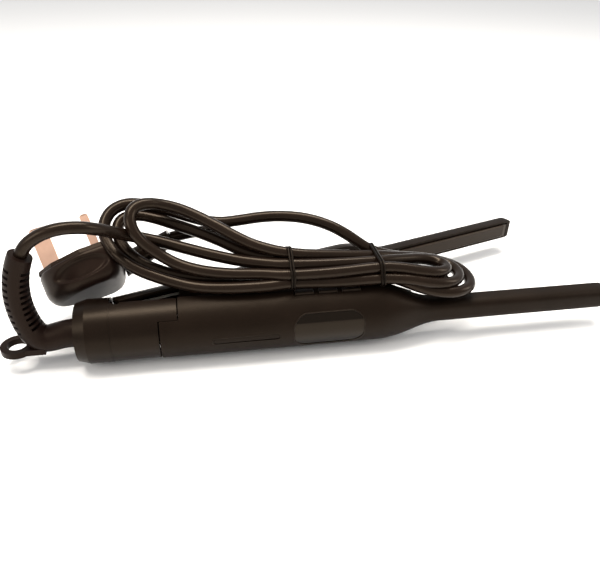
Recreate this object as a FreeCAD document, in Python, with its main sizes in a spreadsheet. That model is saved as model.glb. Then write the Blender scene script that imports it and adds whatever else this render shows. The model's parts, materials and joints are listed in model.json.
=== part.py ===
"""Slim hair straightener with a swivelling mains lead, lying open on its side.

Frame: the hinge axis is Z through the origin, and z = 0 is the surface that the
straightener lies on.  The front arm runs along +X with its outer face towards -Y.
The rear arm stands open, turned about Z by open_angle towards +Y.
Lengths are in millimetres.
"""
import FreeCAD, Part
import math
import os
import Sketcher
from FreeCAD import Placement, Rotation, Vector

os.makedirs("parts", exist_ok=True)
doc = FreeCAD.newDocument("hair_straightener")

# ------------------------------------------------------------ driving dimensions
DIMENSIONS = [
    ("axis_height", 15.5, "height of both arms' long axes above the surface"),
    ("open_angle", 17.6, "angle between the arms when the spring holds them open, degrees"),
    ("arm_length", 246.5, "hinge axis to the tip of an arm"),
    ("handle_radius", 15.5, "outer radius of each half-round handle"),
    ("handle_end", 121.0, "where the handle starts to neck down, from the hinge axis"),
    ("neck_end", 154.0, "where the slim nose starts, from the hinge axis"),
    ("nose_half", 5.9, "half the width of the slim nose"),
    ("nose_depth", 10.2, "depth of the slim nose from the closing plane"),
    ("handle_wall", 1.8, "wall of the handle shells"),
    ("nose_wall", 1.4, "wall of the nose"),
    ("rim_gap", 0.3, "closing plane to the handle rim of one shell"),
    ("nose_rim", 1.6, "closing plane to the rim of the nose"),
    ("cap_radius", 15.0, "outer radius of the end cap"),
    ("cap_back", -18.5, "back face of the end cap"),
    ("cap_front", -3.0, "front edge of the end cap"),
    ("cap_chamfer", 1.5, "depth of the cap's back chamfer"),
    ("cap_chamfer_run", 5.0, "length of the cap's back chamfer"),
    ("cap_wall", 2.0, "wall of the end cap"),
    ("cap_floor", 3.2, "thickness of the cap's back wall"),
    ("housing_radius", 14.8, "outer radius of the hinge housing"),
    ("housing_wall", 2.0, "wall of the hinge housing"),
    ("seam_low", 18.3, "housing's front edge below the seam's step"),
    ("seam_high", 27.0, "housing's front edge above the seam's step"),
    ("seam_height", 25.3, "height of the seam's step"),
    ("seam_gap", 0.6, "gap of the seam between housing and front shell"),
    ("pin_radius", 1.75, "hinge pin shank"),
    ("pin_bore", 1.8, "bore that turns on the hinge pin"),
    ("pin_head_radius", 2.7, "hinge pin head"),
    ("knuckle_radius", 4.0, "ears and knuckle round the hinge pin"),
    ("plate_start", 146.0, "inner end of the heating plates"),
    ("plate_span", 94.0, "length of the heating plates"),
    ("plate_width", 7.8, "width of the heating plates"),
    ("plate_face", 0.15, "closing plane to the face of one heating plate"),
    ("carrier_back", 5.6, "closing plane to the back of the plate carrier"),
    ("display_start", 80.5, "display window's end nearest the hinge"),
    ("display_span", 33.5, "length of the display window"),
    ("display_high", 17.0, "height of the display window"),
    ("light_start", 42.5, "indicator bar's end nearest the hinge"),
    ("light_span", 31.0, "length of the indicator bar"),
    ("light_high", 2.8, "height of the indicator bar"),
    ("button_start", 82.0, "first push-button's end nearest the hinge"),
    ("button_pitch", 11.4, "distance from one push-button to the next"),
    ("button_span", 9.0, "length of a push-button"),
    ("button_wide", 3.2, "width of a push-button"),
    ("button_top", 31.15, "top face of the push-buttons"),
    ("button_tall", 3.4, "height of a push-button"),
    ("core_radius", 4.0, "cord swivel's journal"),
    ("bush_bore", 4.05, "bore of the swivel bush"),
    ("bush_radius", 6.0, "outside of the swivel bush"),
    ("stub_radius", 6.6, "strain relief where it meets the cap"),
    ("relief_tip_radius", 5.2, "strain relief where the cord comes out"),
    ("eye_hole", 4.4, "radius of the hanging eye's hole"),
    ("eye_radius", 7.4, "outer radius of the hanging eye"),
    ("eye_thick", 3.0, "thickness of the hanging eye"),
    ("cord_diameter", 5.6, "mains cord"),
    ("plug_half_wide", 22.0, "half the width of the plug at the line and neutral pins"),
    ("plug_nose_half", 14.5, "half the width of the plug at the earth pin's end"),
    ("plug_deep", 17.5, "thickness of the plug behind its pin face"),
    ("earth_row", 11.1, "earth pin's centre from the plug's middle"),
    ("pin_spacing", 22.2, "line pin's centre to the neutral pin's centre"),
]
sheet = doc.addObject("Spreadsheet::Sheet", "Sizes")
for row, (alias, value, note) in enumerate(DIMENSIONS, start=1):
    sheet.set(f"A{row}", note)
    sheet.set(f"B{row}", str(value))
    sheet.setAlias(f"B{row}", alias)
doc.recompute()
S = {alias: float(sheet.get(alias)) for alias, _, _ in DIMENSIONS}

ZC = S["axis_height"]
FRONT = -1
REAR = 1
Z_AXIS = Vector(0, 0, 1)
X_AXIS = Vector(1, 0, 0)
Y_AXIS = Vector(0, 1, 0)
REAR_TURN = Placement(Vector(0, 0, 0), Rotation(Z_AXIS, S["open_angle"]))
sub_parts = []


# ------------------------------------------------------------ helpers
def keep(obj, label):
    """Mark an object as one of the finished pieces."""
    obj.Label = label
    sub_parts.append(obj)
    return obj


def turn_rear(obj, side):
    """Stand a finished piece of the rear arm at its open angle."""
    if side == REAR:
        obj.Placement = REAR_TURN.multiply(obj.Placement)
    return obj


def box(name, length, width, height, corner):
    """A box; its sizes are expressions on the sheet and its corner is a point."""
    obj = doc.addObject("Part::Box", name)
    obj.setExpression("Length", length)
    obj.setExpression("Width", width)
    obj.setExpression("Height", height)
    obj.Placement.Base = Vector(*corner)
    return obj


def cylinder(name, radius, length, start, direction=Z_AXIS):
    """A cylinder; its sizes are expressions and it runs from start along direction."""
    obj = doc.addObject("Part::Cylinder", name)
    obj.setExpression("Radius", radius)
    obj.setExpression("Height", length)
    obj.Placement = Placement(Vector(*start), Rotation(Z_AXIS, direction))
    return obj


def cone(name, radius_1, radius_2, length, start, direction=Z_AXIS):
    """A cone frustum that runs from start along direction."""
    obj = doc.addObject("Part::Cone", name)
    obj.setExpression("Radius1", radius_1)
    obj.setExpression("Radius2", radius_2)
    obj.setExpression("Height", length)
    obj.Placement = Placement(Vector(*start), Rotation(Z_AXIS, direction))
    return obj


def fuse(name, pieces):
    obj = doc.addObject("Part::MultiFuse", name)
    obj.Shapes = pieces
    return obj


def cut(name, base, tools):
    obj = doc.addObject("Part::Cut", name)
    obj.Base = base
    obj.Tool = tools[0] if len(tools) == 1 else fuse(name + "_tools", tools)
    return obj


def common(name, pieces):
    obj = doc.addObject("Part::MultiCommon", name)
    obj.Shapes = pieces
    return obj


def group(name, pieces):
    """Identical or paired solids that share one node."""
    obj = doc.addObject("Part::Compound", name)
    obj.Links = pieces
    return obj


def feature(name, shape):
    """A piece whose free form has no primitive of its own."""
    obj = doc.addObject("Part::Feature", name)
    obj.Shape = shape
    return obj


def slab(name, side, start, length, near, far, half):
    """A box in one arm's frame, from near to far outwards and half each way in Z."""
    corner_y = near if side == REAR else -far
    return box(name, f"{length}", f"{far - near}", f"{2 * half}", (start, corner_y, ZC - half))


def post(name, side, x, z, radius, near, far):
    """A cylinder in one arm's frame that points outwards from near to far."""
    direction = Vector(0, side, 0)
    return cylinder(name, radius, f"{far - near}", (x, side * near, z), direction)


def origin_plane(body, role):
    for item in body.Origin.OriginFeatures:
        if item.Role == role:
            return item
    raise ValueError(role)


def sketch_on(body, role, name):
    sketch = body.newObject("Sketcher::SketchObject", name)
    sketch.AttachmentSupport = [(origin_plane(body, role), "")]
    sketch.MapMode = "FlatFace"
    return sketch


def add_outline(sketch, points):
    """Draw a closed outline of straight lines."""
    first = sketch.GeometryCount
    count = len(points)
    for i in range(count):
        a = Vector(points[i][0], points[i][1], 0)
        b = Vector(points[(i + 1) % count][0], points[(i + 1) % count][1], 0)
        sketch.addGeometry(Part.LineSegment(a, b), False)
    for i in range(count):
        j = first + (i + 1) % count
        sketch.addConstraint(Sketcher.Constraint("Coincident", first + i, 2, j, 1))


def revolved(name, profile):
    """A PartDesign body turned about X from an outline in the XZ plane (x, radius)."""
    body = doc.addObject("PartDesign::Body", name)
    sketch = sketch_on(body, "XZ_Plane", name + "_profile")
    add_outline(sketch, profile)
    turned = body.newObject("PartDesign::Revolution", name + "_turned")
    turned.Profile = sketch
    turned.ReferenceAxis = (sketch, ["H_Axis"])
    turned.Angle = 360
    body.Placement.Base = Vector(0, 0, ZC)
    return body


def rod(path_points, radius):
    """A round bar along straight runs joined by mitred corners."""
    wire = Part.makePolygon([Vector(*p) for p in path_points])
    return tube_along(wire, radius)


def tube_along(wire, radius):
    start = wire.Edges[0]
    at = start.valueAt(start.FirstParameter)
    tangent = start.tangentAt(start.FirstParameter)
    ring = Part.Wire(Part.Circle(at, tangent, radius).toShape())
    return wire.makePipeShell([ring], True, True, 2)


# ------------------------------------------------------------ form of one arm
def arm_mix(x):
    """0 along the handle, 1 along the slim nose, and a smooth step down the neck."""
    u = (x - S["handle_end"]) / (S["neck_end"] - S["handle_end"])
    u = min(max(u, 0.0), 1.0)
    return u * u * (3 - 2 * u)


def arm_half(x):
    """Half the arm's width in Z at a station."""
    swell = min(max((x - 10) / 50, 0.0), 1.0)
    handle = S["housing_radius"] + 0.3 + (S["handle_radius"] - S["housing_radius"] - 0.3) * swell
    return handle + (S["nose_half"] - handle) * arm_mix(x)


def arm_depth(x):
    """Depth of the arm from the closing plane at a station."""
    return arm_half(x) + (S["nose_depth"] - S["nose_half"]) * arm_mix(x)


def arm_power(x):
    """2 gives the handle's half circle; 4 gives the nose its flat, round-cornered sides."""
    return 2 + 2 * arm_mix(x)


def arm_section(x, side, inset, shrink=1.0):
    """Closed D-shaped wire across the arm: a superellipse closed along the closing plane."""
    half = (arm_half(x) - inset) * shrink
    depth = (arm_depth(x) - inset) * shrink
    power = 2 / arm_power(x)
    steps = 24
    points = []
    for i in range(steps + 1):
        a = math.pi * (i / steps - 0.5)
        z = half * math.copysign(abs(math.sin(a)) ** power, a)
        y = depth * max(math.cos(a), 0.0) ** power
        points.append(Vector(x, side * y, ZC + z))
    curve = Part.BSplineCurve()
    curve.interpolate(points)
    closing = Part.LineSegment(points[-1], points[0])
    return Part.Wire([curve.toShape(), closing.toShape()])


ARM_STATIONS = [10, 35, 60, 90, 112, 118, 124, 130, 136, 142, 148, 154, 158, 164, 175, 190, 220]


def arm_solid(side, start, end, inset, nose_cap):
    """Loft the arm's form; nose_cap lists (distance from the end, shrink) of the tip."""
    stations = [start] + [x for x in ARM_STATIONS if start + 4 < x < end - 8] + [end - 5]
    wires = [arm_section(x, side, inset) for x in stations]
    wires += [arm_section(end - back, side, inset, shrink) for back, shrink in nose_cap]
    return Part.makeLoft(wires, True, False)


TIP_ROUND = [(2.2, 0.985), (0.8, 0.94), (0.0, 0.84)]


def arm_shell(side):
    """Outer moulding of one arm, before its openings are cut."""
    label = "front" if side == FRONT else "rear"
    outer = feature(label + "_outer", arm_solid(side, -4.0, S["arm_length"], 0.0, TIP_ROUND))
    split = S["neck_end"] - 12
    hollow_a = arm_solid(side, -6.0, split, S["handle_wall"], [(0, 1.0)])
    hollow_b = arm_solid(side, split - 8, S["arm_length"] - 2.6, S["nose_wall"], [(0, 0.97)])
    # the nose's thinner wall starts where the two hollows overlap
    hollow = feature(label + "_hollow", hollow_a.fuse(hollow_b))
    rim = slab(label + "_rim", side, -10, 300, -1.0, S["rim_gap"], 20)
    nose_rim = slab(label + "_nose_rim", side, S["plate_start"] - 4.5, 150, -1.0, S["nose_rim"], 20)
    return outer, [hollow, rim, nose_rim]


# ------------------------------------------------------------ end cap and cord swivel
def build_cap():
    back = S["cap_back"]
    front = S["cap_front"]
    radius = S["cap_radius"]
    inner = radius - S["cap_wall"]
    floor = back + S["cap_floor"]
    cap = revolved("cap_form", [
        (back, S["bush_radius"]),
        (back, radius - S["cap_chamfer"]),
        (back + S["cap_chamfer_run"], radius),
        (front, radius),
        (front, inner),
        (floor, inner),
        (floor, S["bush_radius"]),
    ])
    keep(cap, "end_cap")
    bush = revolved("bush_form", [
        (back, S["bush_bore"]),
        (back, S["bush_radius"]),
        (floor, S["bush_radius"]),
        (floor, S["bush_bore"]),
    ])
    keep(bush, "swivel_bush")
    flange = floor + 0.3
    core = revolved("core_form", [
        (back - 0.3, 1.4),
        (back - 0.3, S["core_radius"]),
        (flange, S["core_radius"]),
        (flange, 6.8),
        (flange + 1.4, 6.8),
        (flange + 1.4, 3.2),
        (-5.6, 3.2),
        (-5.6, 1.4),
    ])
    keep(core, "swivel_core")
    rings = []
    for i in range(2):
        at = flange + 2.2 + 3.4 * i
        ring = cylinder(f"slip_ring_{i}", "4.4", "2.2", (at, 0, ZC), X_AXIS)
        hole = cylinder(f"slip_ring_hole_{i}", "3.2", "4", (at - 1, 0, ZC), X_AXIS)
        rings.append(cut(f"slip_ring_cut_{i}", ring, [hole]))
    keep(group("slip_ring_pair", rings), "slip_rings")
    brushes = []
    for i in range(2):
        at = flange + 2.5 + 3.4 * i
        brushes.append(box(f"brush_{i}", "1.6", "3", f"{inner - 4.9}", (at, -1.5, ZC + 4.6)))
    keep(group("brush_pair", brushes), "contact_brushes")


RELIEF_LINE = [
    (-18.8, 15.5), (-23.0, 15.2), (-27.5, 14.4), (-31.8, 13.6), (-35.4, 14.8),
    (-38.0, 18.6), (-39.6, 24.0), (-40.5, 30.0), (-40.7, 36.0), (-40.0, 42.5),
    (-38.3, 49.5), (-35.3, 57.0),
]
RELIEF_SLOTS = 11


def relief_curve():
    curve = Part.BSplineCurve()
    curve.interpolate([Vector(x, 0, z) for x, z in RELIEF_LINE])
    return curve


def build_relief():
    """Moulded elbow, hanging eye and slotted strain relief in one piece."""
    curve = relief_curve()
    first = curve.FirstParameter
    last = curve.LastParameter
    wires = []
    steps = 14
    for i in range(steps + 1):
        u = first + (last - first) * i / steps
        along = i / steps
        radius = S["stub_radius"] + (S["relief_tip_radius"] - S["stub_radius"]) * along
        tangent = curve.tangent(u)[0]
        if i == 0:
            tangent = Vector(-1, 0, 0)
        wires.append(Part.Wire(Part.Circle(curve.value(u), tangent, radius).toShape()))
    horn = feature("relief_horn", Part.makeLoft(wires, True, False))
    eye_x = -46.0
    eye_z = 9.9 - S["eye_thick"] / 2
    eye = cylinder("relief_eye", "Sizes.eye_radius", "Sizes.eye_thick", (eye_x, 0, eye_z))
    tab = box("relief_tab", "13", "11.6", "Sizes.eye_thick", (eye_x, -5.8, eye_z))
    body = fuse("relief_body", [horn, eye, tab])
    tools = [cylinder("relief_eye_hole", "Sizes.eye_hole", "12", (eye_x, 0, eye_z - 4))]
    for i in range(RELIEF_SLOTS):
        u = first + (last - first) * (0.4 + 0.49 * i / (RELIEF_SLOTS - 1))
        at = curve.value(u)
        tangent = curve.tangent(u)[0]
        across = tangent.cross(Y_AXIS)
        turn = Placement(at, Rotation(across, Y_AXIS, tangent, "ZXY"))
        for way in (-1, 1):
            slot = doc.addObject("Part::Box", f"relief_slot_{i}_{way}")
            slot.Length = 5.0
            slot.Width = 11.0
            slot.Height = 1.4
            corner = Vector(2.4 if way > 0 else -7.4, -5.5, -0.7)
            slot.Placement = turn.multiply(Placement(corner, Rotation()))
            tools.append(slot)
    keep(cut("relief_cut", body, tools), "strain_relief")


# ------------------------------------------------------------ hinge
def build_hinge():
    radius = S["housing_radius"]
    start = S["cap_front"]
    tube = cylinder("housing_tube", "Sizes.housing_radius", f"{S['seam_high'] - start}",
                    (start, 0, ZC), X_AXIS)
    bore = cylinder("housing_bore", f"{radius - S['housing_wall']}", "60", (start - 10, 0, ZC), X_AXIS)
    hollow = cut("housing_hollow", tube, [bore])
    low_cut = box("housing_low_cut", "20", "40", f"{S['seam_height'] + 5}", (S["seam_low"], -20, -5))
    rear_cut = box("housing_rear_cut", "60", "20", "40", (start - 10, -0.2, -5))
    ears = []
    for i, z in enumerate((4.5, 23.5)):
        disc = cylinder(f"housing_ear_{i}", "Sizes.knuckle_radius", "3", (0, 0, z))
        web = box(f"housing_web_{i}", "7", "9.2", "3", (start, -9.2, z))
        trim = box(f"housing_ear_trim_{i}", "10", "20", "6", (start - 10, -10, z - 1))
        ears.append(cut(f"housing_ear_cut_{i}", fuse(f"housing_ear_form_{i}", [disc, web]), [trim]))
    half = cut("housing_half", hollow, [low_cut, rear_cut])
    notch = cylinder("housing_notch", f"{S['pin_head_radius'] + 0.6}", "4.4", (0, 0, 0))
    open_half = cut("housing_open", half, [notch])
    body = fuse("housing_body", [open_half] + ears)
    # the pin is a press fit in the ears, so their bore is the pin's own size
    bore_pin = cylinder("housing_pin_bore", "Sizes.pin_radius", "40", (0, 0, -2))
    keep(cut("housing_cut", body, [bore_pin]), "hinge_housing")

    head = cylinder("pin_head", "Sizes.pin_head_radius", "4.5", (0, 0, 0))
    shank = cylinder("pin_shank", "Sizes.pin_radius", "23.5", (0, 0, 4.5))
    keep(fuse("pin_form", [head, shank]), "hinge_pin")

    washer = cylinder("retainer_disc", "3.2", "1", (0, 0, 26.5))
    washer_hole = cylinder("retainer_hole", "Sizes.pin_radius", "2", (0, 0, 26))
    keep(cut("retainer_cut", washer, [washer_hole]), "pin_retainer")

    coil_radius = 2.95
    wire_radius = 0.4
    helix = Part.makeHelix(1.15, 6.9, coil_radius)
    ring = Part.Wire(Part.Circle(Vector(coil_radius, 0, 0), Y_AXIS, wire_radius).toShape())
    coil = Part.Wire(helix).makePipeShell([ring], True, True)
    coil.translate(Vector(0, 0, 15.9))
    keep(feature("spring_coil", coil), "hinge_spring")


# ------------------------------------------------------------ arms
def stadium(name, side, start, span, high, z, near, far):
    """A long round-ended block in one arm's frame that points outwards."""
    r = high / 2
    if r > 6:
        r = 6.5
    pieces = []
    for i, x in enumerate((start + r, start + span - r)):
        for j, dz in enumerate((-1, 1)):
            zz = z + dz * (high / 2 - r)
            pieces.append(post(f"{name}_end_{i}_{j}", side, x, zz, f"{r}", near, far))
    low = near if side == REAR else -far
    pieces.append(box(name + "_mid", f"{span - 2 * r}", f"{far - near}", f"{high}",
                      (start + r, low, z - high / 2)))
    if high / 2 > r:
        pieces.append(box(name + "_wide", f"{span}", f"{far - near}", f"{high - 2 * r}",
                          (start, low, z - high / 2 + r)))
    return fuse(name, pieces)


SCREW_STATIONS = [34.0, 120.0]


def build_arm_common(side):
    """Covers, screws, plates, heaters and their carriers, alike on both arms."""
    label = "front" if side == FRONT else "rear"
    # inner cover: a flat moulding with two screw holes
    outline = [(30, 13.2), (121, 13.2), (128, 12.0), (136, 8.8), (140.5, 6.9)]
    body = doc.addObject("PartDesign::Body", label + "_cover_body")
    sketch = sketch_on(body, "XZ_Plane", label + "_cover_outline")
    add_outline(sketch, outline + [(x, -z) for x, z in reversed(outline)])
    pad = body.newObject("PartDesign::Pad", label + "_cover_pad")
    pad.Profile = sketch
    pad.Length = 1.4
    holes = sketch_on(body, "XZ_Plane", label + "_cover_holes")
    for x in SCREW_STATIONS:
        holes.addGeometry(Part.Circle(Vector(x, 0, 0), Z_AXIS, 2.1), False)
    pocket = body.newObject("PartDesign::Pocket", label + "_cover_pocket")
    pocket.Profile = holes
    pocket.Length = 5
    pocket.Midplane = True
    # the XZ plane's pad runs towards -Y
    base_y = -(S["rim_gap"] + 0.1) if side == FRONT else S["rim_gap"] + 0.1 + 1.4
    body.Placement.Base = Vector(0, base_y, ZC)
    doc.recompute()
    keep(turn_rear(body, side), label + "_cover")

    screws = []
    for i, x in enumerate(SCREW_STATIONS):
        head = post(f"{label}_screw_head_{i}", side, x, ZC, "2.0", 0.5, 1.8)
        shank = post(f"{label}_screw_shank_{i}", side, x, ZC, "1.1", 1.8, 9.0)
        screws.append(fuse(f"{label}_screw_{i}", [head, shank]))
    keep(turn_rear(group(label + "_screw_pair", screws), side), label + "_cover_screws")

    start = S["plate_start"]
    span = S["plate_span"]
    face = S["plate_face"]
    half = S["plate_width"] / 2
    plate = slab(label + "_plate_block", side, start, span, face, 3.1, half)
    channel = slab(label + "_plate_channel", side, start - 1, span + 2, face + 1.0, 4.0, half - 0.9)
    top = doc.addObject("Part::Chamfer", label + "_plate_edges")
    top.Base = plate
    doc.recompute()
    edges = []
    for i, edge in enumerate(plate.Shape.Edges, start=1):
        middle = edge.CenterOfMass
        if abs(abs(middle.y) - face) < 1e-6 and edge.Length > span / 2:
            edges.append((i, 0.5, 0.5))
    top.Edges = edges
    plate_piece = turn_rear(cut(label + "_plate_cut", top, [channel]), side)
    keep(plate_piece, label + "_heating_plate")

    heater = slab(label + "_heater_block", side, start + 4, 84, face + 1.0, face + 2.7, half - 1.2)
    keep(turn_rear(fuse(label + "_heater_form", [heater, slab(
        label + "_heater_tail", side, start + 0.6, 6, face + 1.5, face + 2.2, 1.6)]), side),
        label + "_heater")

    back = S["carrier_back"]
    floor = slab(label + "_carrier_floor", side, start - 2.5, span + 5, 3.1, back, 4.0)
    ends = []
    for i, x in enumerate((start - 2.5, start + span + 0.1)):
        ends.append(slab(f"{label}_carrier_end_{i}", side, x, 2.4, 0.7, 3.2, half))
    rib = slab(label + "_carrier_rib", side, start + 4, 84, face + 2.7, 3.2, half - 1.6)
    keep(turn_rear(fuse(label + "_carrier_form", [floor, rib] + ends), side), label + "_plate_carrier")

    pads = []
    for i, x in enumerate((start + 12, start + span - 22)):
        pads.append(slab(f"{label}_pad_{i}", side, x, 10, back, 8.1, 2.6))
    keep(turn_rear(group(label + "_pad_pair", pads), side), label + "_plate_pads")


def shell_boss(side):
    """Posts inside the handle that the cover's screws bite into."""
    label = "front" if side == FRONT else "rear"
    posts = []
    for i, x in enumerate(SCREW_STATIONS):
        outer = post(f"{label}_boss_{i}", side, x, ZC, "2.6", 2.2, 14.3)
        hole = post(f"{label}_boss_hole_{i}", side, x, ZC, "1.1", 1.0, 9.0)
        posts.append(cut(f"{label}_boss_cut_{i}", outer, [hole]))
    return posts


BUTTON_EDGE = -2.1


def build_front_arm():
    outer, tools = arm_shell(FRONT)
    low_start = S["seam_low"] + S["seam_gap"]
    high_start = S["seam_high"] + S["seam_gap"]
    step = S["seam_height"] - 0.2
    tools.append(box("front_seam_low", f"{low_start + 20}", "40", "60", (-20, -30, -20)))
    tools.append(box("front_seam_high", f"{high_start + 20}", "40", "20", (-20, -30, step)))
    gap = 0.12
    tools.append(stadium("display_opening", FRONT, S["display_start"] - gap,
                         S["display_span"] + 2 * gap, S["display_high"] + 2 * gap, ZC, 8, 18))
    tools.append(stadium("light_opening", FRONT, S["light_start"] - gap,
                         S["light_span"] + 2 * gap, S["light_high"] + 2 * gap, ZC - 1, 8, 18))
    button_y = BUTTON_EDGE - S["button_wide"]
    for i in range(3):
        x = S["button_start"] + i * S["button_pitch"] - 0.3
        tools.append(box(f"button_opening_{i}", "Sizes.button_span + 0.6",
                         "Sizes.button_wide + 0.6", "8", (x, button_y - 0.3, 26)))
    shell = cut("front_shell_open", outer, tools)
    keep(fuse("front_shell_form", [shell] + shell_boss(FRONT)), "front_shell")

    lens_ring = cylinder("lens_outer", "Sizes.handle_radius - 0.1", "60", (70, 0, ZC), X_AXIS)
    lens_bore = cylinder("lens_inner", "Sizes.handle_radius - 2.1", "70", (65, 0, ZC), X_AXIS)
    lens_form = stadium("lens_form", FRONT, S["display_start"], S["display_span"],
                        S["display_high"], ZC, 9, 18)
    keep(common("lens_common", [cut("lens_tube", lens_ring, [lens_bore]), lens_form]), "display_lens")
    bar_ring = cylinder("bar_outer", "Sizes.handle_radius - 0.25", "60", (30, 0, ZC), X_AXIS)
    bar_bore = cylinder("bar_inner", "Sizes.handle_radius - 2.4", "70", (25, 0, ZC), X_AXIS)
    bar_form = stadium("bar_form", FRONT, S["light_start"], S["light_span"], S["light_high"],
                       ZC - 1, 9, 18)
    keep(common("bar_common", [cut("bar_tube", bar_ring, [bar_bore]), bar_form]), "light_bar")

    board = slab("board_plate", FRONT, 40, 74, 6.0, 7.2, 9.5)
    chip = slab("board_chip", FRONT, 62, 12, 7.2, 8.6, 5.0)
    supply = slab("board_capacitor", FRONT, 44, 10, 2.2, 6.0, 4.0)
    keep(fuse("board_form", [board, chip, supply]), "control_board")
    keep(slab("display_block", FRONT, 84, 26, 7.2, 11.2, 6.5), "display_module")

    strip = box("switch_strip", "34", "3.4", "1.2", (81, button_y, 23.6))
    switches = [strip]
    for i in range(3):
        x = S["button_start"] + i * S["button_pitch"] + 2.5
        switches.append(box(f"switch_{i}", "4", "3", "2.1", (x, button_y + 0.1, 24.8)))
    keep(fuse("switch_form", switches), "button_switches")
    for i, label in enumerate(("minus_button", "plus_button", "power_button")):
        x = S["button_start"] + i * S["button_pitch"]
        block = box(label + "_block", "Sizes.button_span", "Sizes.button_wide",
                    "Sizes.button_tall", (x, button_y, S["button_top"] - S["button_tall"]))
        edge = doc.addObject("Part::Fillet", label + "_edges")
        edge.Base = block
        doc.recompute()
        rounds = []
        for j, e in enumerate(block.Shape.Edges, start=1):
            if e.CenterOfMass.z > S["button_top"] - 1e-6:
                rounds.append((j, 0.45, 0.45))
        edge.Edges = rounds
        keep(edge, label)
    leads = []
    for i, way in enumerate((-1, 1)):
        line = [(114.4, -6.6, ZC + 5 * way), (128, -6.0, ZC + 4.6 * way),
                (S["plate_start"] - 2.8, -4.6, ZC + 2 * way)]
        leads.append(feature(f"front_lead_{i}", rod(line, 0.7)))
    keep(group("front_lead_pair", leads), "front_heater_leads")


def build_rear_arm():
    outer, tools = arm_shell(REAR)
    tools.append(box("rear_root_cut", "30", "60", "60", (-29.8, -30, -15)))
    root = box("rear_cap_cut", "30", "60", "60", (-30 + S["cap_front"] + 0.5, -30, -15))
    root.Placement = REAR_TURN.inverse().multiply(root.Placement)
    tools.append(root)
    tools.append(cylinder("rear_notch", f"{S['pin_head_radius'] + 0.6}", "4.4", (0, 0, 0)))
    shell = cut("rear_shell_open", outer, tools)
    knuckle = cylinder("rear_knuckle", "Sizes.knuckle_radius", "7.2", (0, 0, 8.0))
    web = box("rear_knuckle_web", "6", "12.9", "7.2", (1.8, 0.4, 8.0))
    body = fuse("rear_shell_form", [shell, knuckle, web] + shell_boss(REAR))
    bore = cylinder("rear_pin_bore", "Sizes.pin_bore", "40", (0, 0, -2))
    keep(turn_rear(cut("rear_shell_cut", body, [bore]), REAR), "rear_shell")
    leads = []
    for i, way in enumerate((-1, 1)):
        line = [(9, 8.0, ZC + 6.5 * way), (112, 7.5, ZC + 6.5 * way), (128, 6.5, ZC + 4.6 * way),
                (S["plate_start"] - 2.8, 4.6, ZC + 2 * way)]
        leads.append(feature(f"rear_lead_{i}", rod(line, 0.7)))
    keep(turn_rear(group("rear_lead_pair", leads), REAR), "rear_heater_leads")


# ------------------------------------------------------------ plug
PLUG_MIDDLE = Vector(-20.2, 32.5, 34.3)
PLUG_AWAY = Vector(-0.08, 0.735, -0.674)
PLUG_PINS = Vector(-0.318, 0.622, 0.716)
# the moulded sleeve leaves the broad end a little askew, in the plug's own axes
SLEEVE_FOOT = Vector(-17.5, 0.0, -10.2)
SLEEVE_WAY = Vector(-0.943, 0.311, 0.120)
SLEEVE_LENGTH = 30.0
PLUG_END = -20.0
PLUG_TIP = 18.4


def plug_frame():
    """Plug's own axes: X towards the earth pin's end, Y across, Z the way the pins point."""
    across = PLUG_AWAY * -1
    across.normalize()
    pins = PLUG_PINS - across * PLUG_PINS.dot(across)
    pins.normalize()
    earth = across.cross(pins)
    return Placement(PLUG_MIDDLE, Rotation(earth, across, pins, "ZXY"))


PLUG = plug_frame()


def plug_outline(inset):
    """Flat outline of the plug: broad at the cord, narrow and round at the earth pin."""
    wide = S["plug_half_wide"] - inset
    nose = S["plug_nose_half"] - inset
    low = PLUG_END + inset
    high = PLUG_TIP - inset
    points = [(low, -wide + 5), (low + 5, -wide), (low + 16, -wide), (high - 7, -nose - 0.8),
              (high, -nose + 7), (high, nose - 7), (high - 7, nose + 0.8), (low + 16, wide),
              (low + 5, wide), (low, wide - 5)]
    return [Vector(x, y, 0) for x, y in points]


def plug_layer(inset, z):
    points = plug_outline(inset)
    points = [Vector(p.x, p.y, z) for p in points]
    return Part.makePolygon(points + [points[0]])


def in_plug(obj):
    obj.Placement = PLUG.multiply(obj.Placement)
    return obj


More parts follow.
